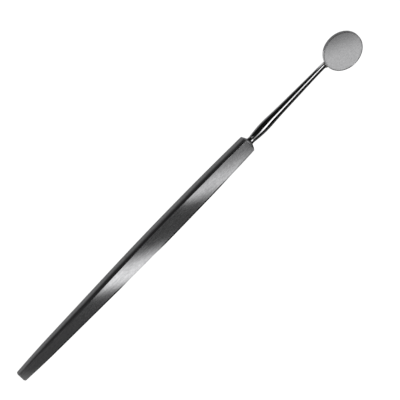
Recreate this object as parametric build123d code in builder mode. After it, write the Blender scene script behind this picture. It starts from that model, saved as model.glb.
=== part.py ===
from build123d import *
from math import cos, radians, sin, tan
import os

# Mouth mirror: a bevelled bar handle, a turned stem that screws into its end,
# and a round front-surface mirror in a shallow cup soldered to the stem's tip.
# Millimetres. +X runs along the handle to the mirror, +Z is up and is the way the
# mirror faces. The origin is the middle of the handle's flat underside.

# Handle, a flattened octagon in section, widest nearer the mirror end
HANDLE_LENGTH = 118.5
HANDLE_THICKNESS = 3.4
BUTT_HALF_WIDTH = 2.46
FLARE_START = 16.0
FLARE_START_HALF_WIDTH = 3.33
FLARE_END = 52.0
FLARE_END_HALF_WIDTH = 4.33
WIDEST_AT = 79.0
WIDEST_HALF_WIDTH = 4.66
NECK_END_HALF_WIDTH = 3.92
NECK_END_SLOPE = -0.038
BUTT_END_SLOPE = 0.08
BUTT_THICKNESS = 2.0
THIN_LENGTH = 26.0
BEVEL_ON_WIDE_FACE = 1.42
BEVEL_ON_SIDE = 0.93
SIDE_ROUNDING = 1.4
EDGE_RADIUS = 0.15
BUTT_CHAMFER = 0.5
BUTT_CORNER = 0.8
END_FACE_RADIUS = 1.42
END_SLOPE_LENGTH = 0.9
END_CONE_ANGLE = 63.0

# Screw joint between the stem and the handle, M2 x 0.4
THREAD_RADIUS = 1.0
THREAD_ROOT_RADIUS = 0.78
THREAD_PITCH = 0.4
TENON_LENGTH = 5.0
THREAD_RUNOUT = 0.6
THREAD_FOOT = 0.17
THREAD_CREST = 0.03
THREAD_SINK = 0.04
SOCKET_CLEARANCE = 0.05
SOCKET_DEPTH = 6.2
DRILL_POINT_ANGLE = 59.0
SOCKET_MOUTH_CHAMFER = 0.1

# Seat washer between the handle's end face and the stem's shoulder
WASHER_GAP = 0.36
WASHER_FACE_CLEARANCE = 0.02
WASHER_OUTER_RADIUS = 1.38

# Stem, from its shoulder to its tip under the mirror cup. Each neck point is a distance
# from the shoulder and the radius there: the swell, the slope, the waist and the slim end
SHOULDER_RADIUS = 1.35
SHOULDER_LAND = 0.8
TIP_RADIUS = 1.05
NECK_POINTS = ((6.1, 1.82), (13.0, 1.6), (20.2, 1.38), (34.0, TIP_RADIUS))
NECK_RISE = 0.12
NECK_TAPER = -0.02
STEM_REACH = 38.72
TIP_UNDER_CUP = 3.5
TIP_ROUNDING = 0.5

# Mirror head, which leans back a little towards the handle
HEAD_LEAN = 5.4
CUP_RADIUS = 7.85
CUP_DEPTH = 1.45
CUP_SEAT_HEIGHT = 0.4
CUP_BACK_RADIUS = 7.5
CUP_WALL_FOOT = 0.35
CUP_FLOOR = 0.35
CUP_INNER_RADIUS = 7.65
LIP_ROUNDING = 0.08
CEMENT_THICKNESS = 0.1
GLASS_RADIUS = 7.53
GLASS_THICKNESS = 0.92
GLASS_EDGE_CHAMFER = 0.06
FIT_GAP = 0.01
SEAL_BELOW_LIP = 0.14
SOLDER_FILM = 0.05
SOLDER_HALF_WIDTH = 1.45
SOLDER_FILLET_HEIGHT = 0.5
SOLDER_OUTSIDE_RIM = 1.2
SOLDER_OVER_BACK = 0.3
SOLDER_TAPER = 25.0
FLAT_LEAD = 0.15

BUTT_X = -HANDLE_LENGTH / 2
NECK_X = HANDLE_LENGTH / 2
AXIS_Z = HANDLE_THICKNESS / 2
RIDGE_HEIGHT = AXIS_Z - BEVEL_ON_SIDE + EDGE_RADIUS
SHOULDER_X = NECK_X + WASHER_GAP
RIM_X = SHOULDER_X + STEM_REACH
AXIS = Axis((0, 0, AXIS_Z), (1, 0, 0))
SIDE_PLANE = Plane(origin=(0, 0, AXIS_Z), x_dir=(1, 0, 0), z_dir=(0, -1, 0))

lean = radians(HEAD_LEAN)
cup_along = Vector(cos(lean), 0, sin(lean))
cup_normal = Vector(-sin(lean), 0, cos(lean))
rim_foot = Vector(RIM_X, 0, AXIS_Z)
CUP_CENTRE = rim_foot + cup_along * CUP_RADIUS + cup_normal * CUP_SEAT_HEIGHT
CUP_PLANE = Plane(origin=CUP_CENTRE, x_dir=cup_along, z_dir=cup_normal)
CUP_SIDE = Plane(origin=CUP_CENTRE, x_dir=cup_along, z_dir=-CUP_PLANE.y_dir)
CUP_AXIS = Axis(CUP_CENTRE, cup_normal)

os.makedirs("parts", exist_ok=True)


def save(piece, name):
    """Label one finished piece and write it to its own file."""
    piece.part.label = name
    export_step(piece.part, f"parts/{name}.step")


def long_edges_of(piece):
    """The edges that run along the handle rather than around it."""
    return piece.edges().filter_by(lambda edge: edge.length > FLARE_START / 2)


def height_off_axis(edge):
    """How far an edge's middle lies above or below the handle's axis."""
    return abs(edge.center().Z - AXIS_Z)


# Handle: the plan outline, bevelled along its long edges, thinned towards the butt
# and sloped off at the neck end
with BuildPart() as handle:
    with BuildSketch(Plane.XY):
        with BuildLine():
            flare = Line(
                (BUTT_X + FLARE_START, FLARE_START_HALF_WIDTH),
                (BUTT_X + FLARE_END, FLARE_END_HALF_WIDTH),
            )
            front = Spline(
                flare @ 1,
                (BUTT_X + WIDEST_AT, WIDEST_HALF_WIDTH),
                (NECK_X, NECK_END_HALF_WIDTH),
                tangents=(flare % 1, (1, NECK_END_SLOPE)),
            )
            back = Spline(
                flare @ 0,
                (BUTT_X + BUTT_CORNER, BUTT_HALF_WIDTH),
                tangents=((flare % 0) * -1, (-1, -BUTT_END_SLOPE)),
            )
            Polyline(back @ 1, (BUTT_X, BUTT_HALF_WIDTH - BUTT_CORNER), (BUTT_X, 0))
            Line(front @ 1, (NECK_X, 0))
            mirror(about=Plane.XZ)
        make_face()
    extrude(amount=HANDLE_THICKNESS)
    for wide_face in (handle.faces().sort_by(Axis.Z)[-1], handle.faces().sort_by(Axis.Z)[0]):
        long_edges = wide_face.edges().filter_by(lambda edge: abs(edge.tangent_at(0.5).X) > 0.9)
        chamfer(long_edges, BEVEL_ON_WIDE_FACE, BEVEL_ON_SIDE, reference=wide_face)
    with BuildSketch(SIDE_PLANE):
        with BuildLine():
            crown = Line((BUTT_X + THIN_LENGTH, AXIS_Z), (NECK_X - END_SLOPE_LENGTH, AXIS_Z))
            butt_edge = (BUTT_X + BUTT_CHAMFER, BUTT_THICKNESS / 2)
            thinning = TangentArc(crown @ 0, butt_edge, tangent=(-1, 0))
            Polyline(thinning @ 1, (BUTT_X, BUTT_THICKNESS / 2 - BUTT_CHAMFER), (BUTT_X, 0))
            Polyline(crown @ 1, (NECK_X, END_FACE_RADIUS), (NECK_X, 0))
            mirror(about=Plane.XZ)
        make_face()
    extrude(amount=2 * WIDEST_HALF_WIDTH, both=True, mode=Mode.INTERSECT)
    side_edges = [edge for edge in long_edges_of(handle) if height_off_axis(edge) < RIDGE_HEIGHT]
    fillet(side_edges, SIDE_ROUNDING)
    # The neck end is turned to a cone around the end face
    cone_outer = 2 * WIDEST_HALF_WIDTH
    cone_length = (cone_outer - END_FACE_RADIUS) / tan(radians(END_CONE_ANGLE))
    with BuildSketch(SIDE_PLANE):
        Polygon(
            (NECK_X, END_FACE_RADIUS),
            (NECK_X - cone_length, cone_outer),
            (NECK_X + 1, cone_outer),
            (NECK_X + 1, END_FACE_RADIUS),
            align=None,
        )
    revolve(axis=AXIS, mode=Mode.SUBTRACT)
    # Blind socket for the stem's tenon
    socket_radius = THREAD_RADIUS + SOCKET_CLEARANCE
    with BuildSketch(SIDE_PLANE):
        Polygon(
            (NECK_X, 0),
            (NECK_X, socket_radius + SOCKET_MOUTH_CHAMFER),
            (NECK_X - SOCKET_MOUTH_CHAMFER, socket_radius),
            (NECK_X - SOCKET_DEPTH, socket_radius),
            (NECK_X - SOCKET_DEPTH - socket_radius / tan(radians(DRILL_POINT_ANGLE)), 0),
            align=None,
        )
    revolve(axis=AXIS, mode=Mode.SUBTRACT)
    ridges = [edge for edge in long_edges_of(handle) if height_off_axis(edge) > RIDGE_HEIGHT]
    fillet(ridges, EDGE_RADIUS)
save(handle, "handle")

# Seat washer: a thin ring that the stem's shoulder presses on the handle's end face
with BuildPart() as seat_washer:
    with BuildSketch(Plane(origin=(NECK_X + WASHER_FACE_CLEARANCE, 0, AXIS_Z), z_dir=(1, 0, 0))):
        Circle(WASHER_OUTER_RADIUS)
        Circle(THREAD_RADIUS + SOCKET_CLEARANCE, mode=Mode.SUBTRACT)
    extrude(amount=WASHER_GAP - 2 * WASHER_FACE_CLEARANCE)
save(seat_washer, "seat_washer")

# Mirror cup: a shallow pan with a bevelled back edge and a rounded lip
with BuildPart() as mirror_cup:
    with BuildSketch(CUP_SIDE):
        Polygon(
            (0, 0),
            (CUP_BACK_RADIUS, 0),
            (CUP_RADIUS, CUP_WALL_FOOT),
            (CUP_RADIUS, CUP_DEPTH),
            (CUP_INNER_RADIUS, CUP_DEPTH),
            (CUP_INNER_RADIUS, CUP_FLOOR),
            (0, CUP_FLOOR),
            align=None,
        )
    revolve(axis=CUP_AXIS)
    lip = mirror_cup.edges().filter_by(GeomType.CIRCLE).group_by(lambda edge: edge.radius)[-1]
    fillet(lip, LIP_ROUNDING)
save(mirror_cup, "mirror_cup")

# Stem: threaded tenon, shoulder, swelling neck and slim tip with a flat for the cup
with BuildPart() as stem:
    tip_x = RIM_X + TIP_UNDER_CUP
    tenon_end = NECK_X - TENON_LENGTH
    with BuildSketch(SIDE_PLANE):
        with BuildLine():
            Polyline(
                (tip_x, 0),
                (tenon_end, 0),
                (tenon_end, THREAD_ROOT_RADIUS),
                (SHOULDER_X, THREAD_ROOT_RADIUS),
                (SHOULDER_X, SHOULDER_RADIUS),
                (SHOULDER_X + SHOULDER_LAND, SHOULDER_RADIUS),
            )
            neck = Spline(
                (SHOULDER_X + SHOULDER_LAND, SHOULDER_RADIUS),
                *[(SHOULDER_X + along, radius) for along, radius in NECK_POINTS],
                tangents=((1, NECK_RISE), (1, NECK_TAPER)),
            )
            Polyline(neck @ 1, (tip_x, TIP_RADIUS), (tip_x, 0))
        make_face()
    revolve(axis=AXIS)
    fillet(stem.faces().sort_by(Axis.X)[-1].edges(), TIP_ROUNDING)
    # Thread ridge, wound along the tenon
    with BuildLine() as thread_path:
        thread_helix = Helix(
            pitch=THREAD_PITCH,
            height=TENON_LENGTH - THREAD_RUNOUT - THREAD_PITCH,
            radius=THREAD_ROOT_RADIUS,
            center=(tenon_end + THREAD_PITCH / 2, 0, AXIS_Z),
            direction=(1, 0, 0),
        )
    thread_height = THREAD_RADIUS - THREAD_ROOT_RADIUS
    ridge_out = (thread_helix @ 0 - Vector(tenon_end + THREAD_PITCH / 2, 0, AXIS_Z)).normalized()
    with BuildSketch(Plane(origin=thread_helix @ 0, x_dir=ridge_out, z_dir=thread_helix % 0)):
        Polygon(
            (-THREAD_SINK, -THREAD_FOOT),
            (thread_height, -THREAD_CREST),
            (thread_height, THREAD_CREST),
            (-THREAD_SINK, THREAD_FOOT),
            align=None,
        )
    sweep(path=thread_path.wires()[0], is_frenet=True)
    # Flat on the tip, parallel to the cup's back
    with BuildSketch(CUP_PLANE.offset(-SOLDER_FILM)):
        with Locations((-CUP_RADIUS - FLAT_LEAD, 0)):
            Rectangle(2 * TIP_UNDER_CUP, 2 * CUP_RADIUS, align=(Align.MIN, Align.CENTER))
    extrude(amount=CUP_RADIUS, mode=Mode.SUBTRACT)
save(stem, "stem")

# Solder between the stem's flat and the cup's back, with a fillet around the tip
with BuildPart() as solder_joint:
    with BuildSketch(CUP_PLANE.offset(SOLDER_OVER_BACK)):
        with Locations((-CUP_RADIUS + TIP_UNDER_CUP / 2, 0)):
            SlotOverall(TIP_UNDER_CUP + 2 * SOLDER_OUTSIDE_RIM, 2 * SOLDER_HALF_WIDTH)
    extrude(amount=-SOLDER_OVER_BACK - SOLDER_FILLET_HEIGHT, taper=SOLDER_TAPER)
    add(stem.part, mode=Mode.SUBTRACT)
    with BuildSketch(CUP_SIDE):
        Polygon(
            (0, 0),
            (CUP_BACK_RADIUS, 0),
            (CUP_RADIUS, CUP_WALL_FOOT),
            (CUP_RADIUS, CUP_DEPTH),
            (0, CUP_DEPTH),
            align=None,
        )
    revolve(axis=CUP_AXIS, mode=Mode.SUBTRACT)
save(solder_joint, "solder_joint")

# Bedding cement: the thin layer that holds the glass on the cup's floor
with BuildPart() as bedding_cement:
    with BuildSketch(CUP_PLANE.offset(CUP_FLOOR)):
        Circle(CUP_INNER_RADIUS - FIT_GAP)
    extrude(amount=CEMENT_THICKNESS)
save(bedding_cement, "bedding_cement")

# Mirror glass: a flat disc with its reflecting surface in front
with BuildPart() as mirror_glass:
    with BuildSketch(CUP_PLANE.offset(CUP_FLOOR + CEMENT_THICKNESS)):
        Circle(GLASS_RADIUS)
    extrude(amount=GLASS_THICKNESS)
    chamfer(mirror_glass.edges().filter_by(GeomType.CIRCLE), GLASS_EDGE_CHAMFER)
save(mirror_glass, "mirror_glass")

# Edge seal: the bead between the glass and the cup's wall
with BuildPart() as edge_seal:
    with BuildSketch(CUP_PLANE.offset(CUP_FLOOR + CEMENT_THICKNESS)):
        Circle(CUP_INNER_RADIUS - FIT_GAP)
        Circle(GLASS_RADIUS + FIT_GAP, mode=Mode.SUBTRACT)
    extrude(amount=CUP_DEPTH - CUP_FLOOR - CEMENT_THICKNESS - SEAL_BELOW_LIP)
save(edge_seal, "edge_seal")
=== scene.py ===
from math import cos, radians, sin

import bpy
from mathutils import Matrix, Vector


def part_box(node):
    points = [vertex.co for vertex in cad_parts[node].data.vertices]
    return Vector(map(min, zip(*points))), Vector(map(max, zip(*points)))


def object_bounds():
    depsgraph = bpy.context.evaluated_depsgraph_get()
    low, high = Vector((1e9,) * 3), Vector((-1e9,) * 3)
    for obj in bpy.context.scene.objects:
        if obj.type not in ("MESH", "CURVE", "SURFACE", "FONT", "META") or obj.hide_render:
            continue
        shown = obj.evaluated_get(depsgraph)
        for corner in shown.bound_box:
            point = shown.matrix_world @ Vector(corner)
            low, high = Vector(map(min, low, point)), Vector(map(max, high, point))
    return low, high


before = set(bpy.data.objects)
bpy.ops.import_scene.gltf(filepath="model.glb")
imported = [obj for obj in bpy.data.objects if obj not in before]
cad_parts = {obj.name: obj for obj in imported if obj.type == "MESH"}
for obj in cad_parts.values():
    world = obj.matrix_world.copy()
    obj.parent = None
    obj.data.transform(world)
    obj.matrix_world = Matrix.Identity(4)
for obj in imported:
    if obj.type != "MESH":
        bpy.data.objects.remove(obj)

CAD_LOW, CAD_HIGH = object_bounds()
MM = 0.001

# The handle's axis runs along +X at half its thickness
HANDLE_LOW, HANDLE_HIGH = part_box("handle")
AXIS_Z = (HANDLE_LOW.z + HANDLE_HIGH.z) / 2
HEAD_LEAN = radians(5.4)


# ---------------------------------------------------------------- camera
ROLL_FROM_TOP = radians(38.0)
TILT_BACK = radians(2.3)
IMAGE_SLOPE = radians(45.82)
CAMERA_DISTANCE = 1.2
VIEW_WIDTH = 144.3 * MM
SENSOR = 36.0
AIM_ALONG = 31.5 * MM
AIM_ACROSS = 1.85 * MM


def make_camera():
    """A long lens above the object's left side, rolled so that the handle runs up to the right."""
    level = cos(TILT_BACK)
    towards = Vector((-sin(TILT_BACK), sin(ROLL_FROM_TOP) * level, cos(ROLL_FROM_TOP) * level))
    across = Vector((1, 0, 0)).cross(towards).normalized()
    along = towards.cross(across).normalized()
    aim = Vector((AIM_ALONG, 0, AXIS_Z)) + across * AIM_ACROSS
    right = along * cos(IMAGE_SLOPE) + across * sin(IMAGE_SLOPE)
    up = along * sin(IMAGE_SLOPE) - across * cos(IMAGE_SLOPE)
    data = bpy.data.cameras.new("camera")
    data.sensor_width = SENSOR
    data.lens = SENSOR * CAMERA_DISTANCE / VIEW_WIDTH
    data.clip_start = 0.01
    data.clip_end = 20.0
    camera = bpy.data.objects.new("camera", data)
    turn = Matrix((right, up, towards)).transposed().to_4x4()
    camera.matrix_world = Matrix.Translation(aim + towards * CAMERA_DISTANCE) @ turn
    bpy.context.scene.collection.objects.link(camera)
    bpy.context.scene.camera = camera
    return aim + towards * CAMERA_DISTANCE


CAMERA_AT = make_camera()


# ---------------------------------------------------------------- node helpers
def new_material(name):
    """An empty material with its node tree, its output and a Principled shader."""
    material = bpy.data.materials.new(name)
    material.use_nodes = True
    tree = material.node_tree
    tree.nodes.clear()
    output = tree.nodes.new("ShaderNodeOutputMaterial")
    shader = tree.nodes.new("ShaderNodeBsdfPrincipled")
    tree.links.new(shader.outputs[0], output.inputs["Surface"])
    return material, tree, shader


def add(tree, kind, **settings):
    """One node, with its properties and its unlinked input values."""
    node = tree.nodes.new(kind)
    for key, value in settings.items():
        if hasattr(node, key):
            setattr(node, key, value)
        else:
            node.inputs[key.replace("_", " ")].default_value = value
    return node


def link(tree, source, target):
    """Join an output socket to an input socket."""
    tree.links.new(source, target)


def stretched_noise(tree, scale, detail=4.0, roughness=0.6):
    """Noise in the object's own coordinates, scaled separately along each axis, per metre."""
    place = add(tree, "ShaderNodeTexCoord")
    stretch = add(tree, "ShaderNodeMapping")
    stretch.inputs["Scale"].default_value = scale
    noise = add(tree, "ShaderNodeTexNoise", Scale=1.0, Detail=detail, Roughness=roughness)
    link(tree, place.outputs["Object"], stretch.inputs["Vector"])
    link(tree, stretch.outputs["Vector"], noise.inputs["Vector"])
    return noise.outputs["Fac"]


def remap(tree, value, low, high, from_low=0.3, from_high=0.7):
    """A factor spread over low to high."""
    node = add(tree, "ShaderNodeMapRange")
    node.inputs["From Min"].default_value = from_low
    node.inputs["From Max"].default_value = from_high
    node.inputs["To Min"].default_value = low
    node.inputs["To Max"].default_value = high
    link(tree, value, node.inputs["Value"])
    return node.outputs["Result"]


def soft_step(tree, value, start, end, low=0.0, high=1.0):
    """A smooth change from low to high between two values."""
    node = add(tree, "ShaderNodeMapRange", interpolation_type="SMOOTHSTEP")
    node.inputs["From Min"].default_value = start
    node.inputs["From Max"].default_value = end
    node.inputs["To Min"].default_value = low
    node.inputs["To Max"].default_value = high
    link(tree, value, node.inputs["Value"])
    return node.outputs["Result"]


def math(tree, operation, first, second):
    """One sum on two values or sockets."""
    node = add(tree, "ShaderNodeMath", operation=operation)
    for socket, value in zip(node.inputs, (first, second)):
        if isinstance(value, (int, float)):
            socket.default_value = value
        else:
            link(tree, value, socket)
    return node.outputs[0]


def bump(tree, shader, height, distance, strength=1.0):
    """Small relief on the surface, distance in metres."""
    node = add(tree, "ShaderNodeBump", Strength=strength, Distance=distance)
    link(tree, height, node.inputs["Height"])
    link(tree, node.outputs["Normal"], shader.inputs["Normal"])
    return node


def two_tones(tree, shader, factor, dark, light):
    """Base colour between two tones."""
    ramp = add(tree, "ShaderNodeValToRGB")
    ramp.color_ramp.elements[0].position = 0.3
    ramp.color_ramp.elements[0].color = (*dark, 1)
    ramp.color_ramp.elements[1].position = 0.7
    ramp.color_ramp.elements[1].color = (*light, 1)
    link(tree, factor, ramp.inputs["Fac"])
    link(tree, ramp.outputs["Color"], shader.inputs["Base Color"])


# ---------------------------------------------------------------- materials
def satin_steel():
    """Bar steel with a fine grain drawn along the handle."""
    material, tree, shader = new_material("satin_steel")
    shader.inputs["Metallic"].default_value = 1.0
    shader.inputs["Anisotropic"].default_value = 0.3
    grain = stretched_noise(tree, (60, 5000, 5000), detail=3.0)
    cloud = stretched_noise(tree, (90, 200, 200), detail=2.0)
    speckle = stretched_noise(tree, (1300, 1900, 1900), detail=4.0)
    tone = math(tree, "MULTIPLY", math(tree, "ADD", speckle, grain), 0.5)
    two_tones(tree, shader, tone, (0.40, 0.40, 0.41), (0.77, 0.77, 0.78))
    link(tree, remap(tree, cloud, 0.09, 0.12), shader.inputs["Roughness"])
    bump(tree, shader, grain, 0.000001, 0.08)
    direction = add(tree, "ShaderNodeCombineXYZ", X=1.0)
    link(tree, direction.outputs[0], shader.inputs["Tangent"])
    return material


def polished_steel():
    """Turned and polished stem, with faint turning rings left in the polish."""
    material, tree, shader = new_material("polished_steel")
    shader.inputs["Metallic"].default_value = 1.0
    rings = stretched_noise(tree, (14000, 60, 60), detail=2.0)
    haze = stretched_noise(tree, (300, 500, 500), detail=3.0)
    two_tones(tree, shader, haze, (0.66, 0.66, 0.67), (0.72, 0.72, 0.73))
    link(tree, remap(tree, haze, 0.03, 0.06), shader.inputs["Roughness"])
    bump(tree, shader, rings, 0.0000006, 0.35)
    return material


def cup_steel():
    """Spun and finely brushed cup."""
    material, tree, shader = new_material("cup_steel")
    shader.inputs["Metallic"].default_value = 1.0
    mottle = stretched_noise(tree, (900, 900, 900), detail=4.0)
    two_tones(tree, shader, mottle, (0.56, 0.56, 0.57), (0.64, 0.64, 0.65))
    link(tree, remap(tree, mottle, 0.14, 0.20), shader.inputs["Roughness"])
    bump(tree, shader, mottle, 0.000001, 0.4)
    return material


def front_mirror():
    """Rhodium-coated front surface, bright but a little soft."""
    material, tree, shader = new_material("front_mirror")
    shader.inputs["Metallic"].default_value = 1.0
    mottle = stretched_noise(tree, (600, 600, 600), detail=3.0)
    speckle = stretched_noise(tree, (1500, 1500, 1500), detail=4.0)
    two_tones(tree, shader, speckle, (0.60, 0.60, 0.61), (0.76, 0.76, 0.77))
    link(tree, remap(tree, mottle, 0.09, 0.13), shader.inputs["Roughness"])
    bump(tree, shader, mottle, 0.000001, 0.3)
    return material


def silvered_seal():
    """Bright bead, a little rougher than the mirror."""
    material, tree, shader = new_material("seal")
    shader.inputs["Metallic"].default_value = 1.0
    mottle = stretched_noise(tree, (1500, 1500, 1500), detail=3.0)
    two_tones(tree, shader, mottle, (0.60, 0.60, 0.61), (0.70, 0.70, 0.71))
    link(tree, remap(tree, mottle, 0.12, 0.20), shader.inputs["Roughness"])
    bump(tree, shader, mottle, 0.000001, 0.4)
    return material


def silver_solder():
    """Wiped solder, slightly warm and uneven."""
    material, tree, shader = new_material("silver_solder")
    shader.inputs["Metallic"].default_value = 1.0
    lumps = stretched_noise(tree, (2500, 2500, 2500), detail=3.0)
    two_tones(tree, shader, lumps, (0.30, 0.29, 0.28), (0.42, 0.41, 0.39))
    link(tree, remap(tree, lumps, 0.12, 0.24), shader.inputs["Roughness"])
    bump(tree, shader, lumps, 0.00001, 0.4)
    return material


def plastic(name, dark, light, rough_low, rough_high, scale):
    """Washer and cement: a dielectric with a fine uneven surface."""
    material, tree, shader = new_material(name)
    grain = stretched_noise(tree, (scale, scale, scale), detail=4.0)
    two_tones(tree, shader, grain, dark, light)
    link(tree, remap(tree, grain, rough_low, rough_high), shader.inputs["Roughness"])
    bump(tree, shader, grain, 0.000004, 0.4)
    return material


MATERIALS = {
    "handle": satin_steel(),
    "stem": polished_steel(),
    "mirror_cup": cup_steel(),
    "mirror_glass": front_mirror(),
    "solder_joint": silver_solder(),
    # The seat washer is near black, and this colour makes the dark ring between the handle's end and
    # the neck.
    "seat_washer": plastic("black_ptfe", (0.012, 0.012, 0.012), (0.03, 0.03, 0.03), 0.35, 0.55, 4000),
    "bedding_cement": plastic("cement", (0.42, 0.39, 0.33), (0.55, 0.52, 0.45), 0.45, 0.65, 2500),
    "edge_seal": silvered_seal(),
}
for node, material in MATERIALS.items():
    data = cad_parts[node].data
    data.materials.clear()
    data.materials.append(material)


# ---------------------------------------------------------------- floor and light
def make_floor():
    """A white sheet lit from behind, so that no shadow shows on it. Metal doesn't mirror it."""
    size = 3.0
    mesh = bpy.data.meshes.new("floor")
    z = CAD_LOW.z - 0.00002
    corners = [(-size, -size, z), (size, -size, z), (size, size, z), (-size, size, z)]
    mesh.from_pydata(corners, [], [(0, 1, 2, 3)])
    floor = bpy.data.objects.new("floor", mesh)
    bpy.context.scene.collection.objects.link(floor)
    material, tree, shader = new_material("floor_sheet")
    tooth = stretched_noise(tree, (700, 700, 700), detail=3.0)
    two_tones(tree, shader, tooth, (0.88, 0.88, 0.88), (0.92, 0.92, 0.92))
    shader.inputs["Roughness"].default_value = 0.9
    shader.inputs["Specular IOR Level"].default_value = 0.1
    shader.inputs["Emission Color"].default_value = (1, 1, 1, 1)
    shader.inputs["Emission Strength"].default_value = 0.97
    mesh.materials.append(material)
    floor.visible_glossy = False


def area_lamp(name, position, size, power):
    """A large soft lamp for the plastic and the floor, out of the metal's reflections."""
    data = bpy.data.lights.new(name, "AREA")
    data.shape = "DISK"
    data.size = size
    data.energy = power
    lamp = bpy.data.objects.new(name, data)
    bpy.context.scene.collection.objects.link(lamp)
    lamp.location = position
    aim = Vector((0.02, 0, 0)) - Vector(position)
    lamp.rotation_euler = aim.to_track_quat("-Z", "Y").to_euler()
    lamp.visible_glossy = False


def make_world():
    """White behind everything, dark in reflections but for a little light from four sides."""
    world = bpy.data.worlds.new("studio")
    bpy.context.scene.world = world
    world.use_nodes = True
    tree = world.node_tree
    tree.nodes.clear()
    output = tree.nodes.new("ShaderNodeOutputWorld")
    place = add(tree, "ShaderNodeTexCoord")
    split = add(tree, "ShaderNodeSeparateXYZ")
    link(tree, place.outputs["Generated"], split.inputs[0])
    behind_butt = soft_step(tree, split.outputs["X"], -0.8, -0.35, END_GLOW, DARK)
    past_head = soft_step(tree, split.outputs["X"], 0.55, 0.85, 0.0, END_GLOW)
    glow = math(tree, "ADD", behind_butt, past_head)
    below = soft_step(tree, split.outputs["Z"], -0.98, -0.5, BELOW_GLOW, 0.0)
    right = soft_step(tree, split.outputs["Y"], -0.97, -0.8, RIGHT_GLOW, 0.0)
    glow = math(tree, "ADD", glow, math(tree, "MAXIMUM", below, right))
    room = add(tree, "ShaderNodeBackground")
    link(tree, glow, room.inputs["Color"])
    white = add(tree, "ShaderNodeBackground", Color=(1, 1, 1, 1))
    path = add(tree, "ShaderNodeLightPath")
    mix = add(tree, "ShaderNodeMixShader")
    link(tree, path.outputs["Is Camera Ray"], mix.inputs[0])
    link(tree, room.outputs[0], mix.inputs[1])
    link(tree, white.outputs[0], mix.inputs[2])
    link(tree, mix.outputs[0], output.inputs["Surface"])


def card(name, points, faces, glow):
    """A glowing panel that only reflections see. glow gives its brightness from x, y and z."""
    mesh = bpy.data.meshes.new(name)
    mesh.from_pydata([tuple(point) for point in points], [], faces)
    panel = bpy.data.objects.new(name, mesh)
    bpy.context.scene.collection.objects.link(panel)
    material = bpy.data.materials.new(name)
    material.use_nodes = True
    tree = material.node_tree
    tree.nodes.clear()
    output = tree.nodes.new("ShaderNodeOutputMaterial")
    emission = add(tree, "ShaderNodeEmission", Strength=1.0)
    link(tree, emission.outputs[0], output.inputs["Surface"])
    place = add(tree, "ShaderNodeTexCoord")
    split = add(tree, "ShaderNodeSeparateXYZ")
    link(tree, place.outputs["Object"], split.inputs[0])
    link(tree, glow(tree, *split.outputs), emission.inputs["Color"])
    mesh.materials.append(material)
    panel.visible_camera = False
    panel.visible_diffuse = False
    panel.visible_shadow = False
    panel.visible_transmission = False


def flat_card(name, low, high, z, glow):
    """A level card between two corners in plan."""
    points = [(low[0], low[1], z), (high[0], low[1], z), (high[0], high[1], z), (low[0], high[1], z)]
    card(name, points, [(0, 1, 2, 3)], glow)


def mirrored(point, normal):
    """The direction that the camera sees mirrored at a point of a surface."""
    towards = (CAMERA_AT - point).normalized()
    return 2 * towards.dot(normal) * normal - towards


DARK = 0.007
END_GLOW = 0.22
BELOW_GLOW = 0.26
RIGHT_GLOW = 0.07
SCRIM_HEIGHT = 60 * MM
FACE_VIEW = mirrored(Vector((0, 0, HANDLE_HIGH.z)), Vector((0, 0, 1)))
SCRIM_SHIFT = FACE_VIEW * (SCRIM_HEIGHT / FACE_VIEW.z)
SCRIM_LEVEL = 0.075
BUTT_GLOW = 0.16
BUTT_SLANT = 1.49
BUTT_EDGE = (-72, -66)

# The light that only the bevel of the butt half mirrors: where it fades along the handle
# and the angles from straight up between which it ends
BUTT_BEVEL_GLOW = 0.045
BUTT_BEVEL_EDGE = (-25, -5)
BUTT_BEVEL_ANGLES = (31.5, 34.5)

# The two strip lamps behind the scrim. Each edge is soft between two places along the
# handle, in millimetres, and a slant is how far the edge moves along it for each
# millimetre across. The second lamp's rising edge also widens across the handle
FIRST_LAMP = 1.16
FIRST_RISE = (-19.3, -10)
FIRST_RISE_SLANT = 1.285
FIRST_FALL = (-6.5, 9.7)
FIRST_FALL_SLANT = 1.74
SECOND_LAMP = 0.86
SECOND_RISE_START = 30 * MM
SECOND_RISE_SLANT = 0.68
SECOND_RISE_WIDTH = 8.9 * MM
SECOND_RISE_SPREAD = 2.05
SECOND_LEAST_WIDTH = 3 * MM
SECOND_FALL = (40.3, 61.5)
SECOND_FALL_SLANT = 2.1
SECOND_FALL_END = 0.2

# The same lamps seen again in the sheet on the handle's right side
FRONT_LEVEL = 0.005
FRONT_FIRST_LAMP = 1.12
FRONT_SECOND_LAMP = 1.15


def slanted(tree, x, y, slant):
    """Distance along the handle that moves with the distance across it."""
    return math(tree, "ADD", x, math(tree, "MULTIPLY", y, slant))


def edge(tree, place, between, low=0.0, high=1.0):
    """A soft edge between two places given in millimetres."""
    return soft_step(tree, place, between[0] * MM, between[1] * MM, low, high)


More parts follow.
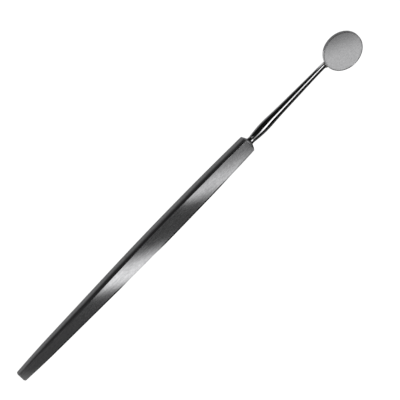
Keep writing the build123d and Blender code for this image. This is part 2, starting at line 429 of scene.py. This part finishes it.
def scrim_glow(tree, x, y, z):
    """Two strip lamps behind a dim scrim, both slanting across the handle."""
    along = math(tree, "SUBTRACT", x, SCRIM_SHIFT.x)
    across = math(tree, "SUBTRACT", y, SCRIM_SHIFT.y)
    first_rise = edge(tree, slanted(tree, along, across, FIRST_RISE_SLANT), FIRST_RISE)
    first_fall = edge(tree, slanted(tree, along, across, FIRST_FALL_SLANT), FIRST_FALL, 1.0, 0.0)
    first = math(tree, "MULTIPLY", first_rise, first_fall)
    width = slanted(tree, SECOND_RISE_WIDTH, across, -SECOND_RISE_SPREAD)
    width = math(tree, "MAXIMUM", width, SECOND_LEAST_WIDTH)
    second_rise = slanted(tree, along, across, SECOND_RISE_SLANT)
    second_rise = math(tree, "SUBTRACT", second_rise, SECOND_RISE_START)
    second_rise = soft_step(tree, math(tree, "DIVIDE", second_rise, width), 0, 1)
    second_fall = slanted(tree, along, across, SECOND_FALL_SLANT)
    second_fall = edge(tree, second_fall, SECOND_FALL, 1.0, SECOND_FALL_END)
    second = math(tree, "MULTIPLY", second_rise, second_fall)
    first = math(tree, "MULTIPLY", first, FIRST_LAMP)
    second = math(tree, "MULTIPLY", second, SECOND_LAMP)
    butt_side = slanted(tree, along, across, BUTT_SLANT)
    base = edge(tree, butt_side, BUTT_EDGE, SCRIM_LEVEL + BUTT_GLOW, SCRIM_LEVEL)
    return math(tree, "ADD", math(tree, "ADD", first, second), base)


def front_glow(tree, x, y, z):
    """The lamps seen again in the bright sheet on the handle's right side."""
    first = math(tree, "MULTIPLY", edge(tree, x, (-13, -5.5)), edge(tree, x, (5, 12.5), 1.0, 0.0))
    second = math(tree, "MULTIPLY", edge(tree, x, (39, 51)), edge(tree, x, (44, 53), 1.0, 0.3))
    first = math(tree, "MULTIPLY", first, FRONT_FIRST_LAMP)
    second = math(tree, "MULTIPLY", second, FRONT_SECOND_LAMP)
    return math(tree, "ADD", math(tree, "ADD", first, second), FRONT_LEVEL)


def fill_glow(tree, x, y, z):
    """A weak light straight above the handle."""
    return edge(tree, x, (20, 45), 0.14, 0.05)


def rim_glow(tree, x, y, z):
    """Bright paper under the head's rim on the handle's side."""
    return edge(tree, x, (95, 97.5), 0.25, 0.7)


def bounce(name, x_low, x_high, start, end, low, high):
    """A sheet beside the handle, flat on the floor and then standing up, darker towards its top.
    x_low and x_high are in millimetres. Its brightness goes from low to high between two
    angles from straight up, start and end."""
    profile = [(0, 0), (8, 0), (10, 2), (10, 22)]
    points = [(x * MM, y * MM, z * MM) for x in (x_low, x_high) for y, z in profile]
    count = len(profile)
    faces = [(i, i + 1, i + 1 + count, i + count) for i in range(count - 1)]

    def glow(tree, x, y, z):
        angle = math(tree, "ARCTAN2", y, math(tree, "SUBTRACT", z, AXIS_Z))
        side = soft_step(tree, angle, radians(start), radians(end), low, high)
        butt = edge(tree, x, BUTT_BEVEL_EDGE, BUTT_BEVEL_GLOW, 0.0)
        inner_from, inner_to = BUTT_BEVEL_ANGLES
        inner = soft_step(tree, angle, radians(inner_from), radians(inner_to), 1.0, 0.0)
        return math(tree, "ADD", side, math(tree, "MULTIPLY", butt, inner))

    card(name, points, faces, glow)


def neck_softbox():
    """A strip lamp above the neck that slants towards the left side, brightest over the swell.
    Each station is a place along the neck and the lamp's two edges in degrees from straight up."""
    distance = 80 * MM
    stations = (
        (44, -9, 15),
        (60, -12, 18),
        (67, -10, 23),
        (74, -7, 26),
        (98, 14, 42),
        (105, 20, 47),
        (115, 25, 52),
    )
    points = []
    for x, low, high in stations:
        for angle in (low, high):
            across = sin(radians(angle)) * distance
            points.append((x * MM, across, AXIS_Z + cos(radians(angle)) * distance))
    faces = [(2 * i, 2 * i + 1, 2 * i + 3, 2 * i + 2) for i in range(len(stations) - 1)]

    def glow(tree, x, y, z):
        swell = edge(tree, x, (44, 72), 0.27, 1.65)
        slim = math(tree, "MULTIPLY", swell, edge(tree, x, (84, 94), 1.0, 0.8))
        return math(tree, "MULTIPLY", slim, edge(tree, x, (97, 105), 1.0, 1.35))

    card("neck_softbox", points, faces, glow)


def mirror_card():
    """What the mirror shows: an even grey that darkens towards its far side."""
    glass_low, glass_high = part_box("mirror_glass")
    centre = (glass_low + glass_high) / 2
    mirror_normal = Vector((-sin(HEAD_LEAN), 0, cos(HEAD_LEAN)))
    centre = centre + mirrored(centre, mirror_normal) * (SCRIM_HEIGHT / FACE_VIEW.z)

    def glow(tree, x, y, z):
        along = math(tree, "SUBTRACT", x, centre.x)
        across = math(tree, "SUBTRACT", y, centre.y)
        away = slanted(tree, math(tree, "MULTIPLY", along, 0.89), across, 1.93)
        return edge(tree, away, (-2, 20), 0.65, 0.22)

    reach = 12.5 * MM
    low = (centre.x - reach, centre.y - reach)
    high = (centre.x + reach, centre.y + reach)
    flat_card("mirror_card", low, high, centre.z, glow)


make_floor()
make_world()
area_lamp("key_lamp", (0.1, 0.1, 1.2), 1.6, 1.0)
area_lamp("side_lamp", (-0.6, -0.9, 0.9), 1.4, 0.5)

# Sheets and lamps that the metal mirrors. A flat card has two corners and a height in
# metres. The ones for the handle end near the neck, which would mirror them too
PAPER_HEIGHT = 0.0001
scrim_low = (-0.13, SCRIM_SHIFT.y - 0.012)
scrim_high = (0.0635, SCRIM_SHIFT.y + 0.010)
flat_card("front_bounce", (-0.08, -0.03), (0.0604, -0.005), PAPER_HEIGHT, front_glow)
flat_card("scrim", scrim_low, scrim_high, AXIS_Z * 2 + SCRIM_HEIGHT, scrim_glow)
flat_card("top_fill", (-0.14, -0.009), (0.045, 0.009), 0.08, fill_glow)
bounce("handle_bounce", -80, 59.9, 38, 94, 0.025, 0.22)
bounce("head_bounce", 99, 125, 60, 100, 0.02, 0.23)
flat_card("rim_bounce", (0.095, 0.0), (0.0989, 0.012), PAPER_HEIGHT, rim_glow)
neck_softbox()
mirror_card()
bpy.context.scene.view_settings.view_transform = "Standard"
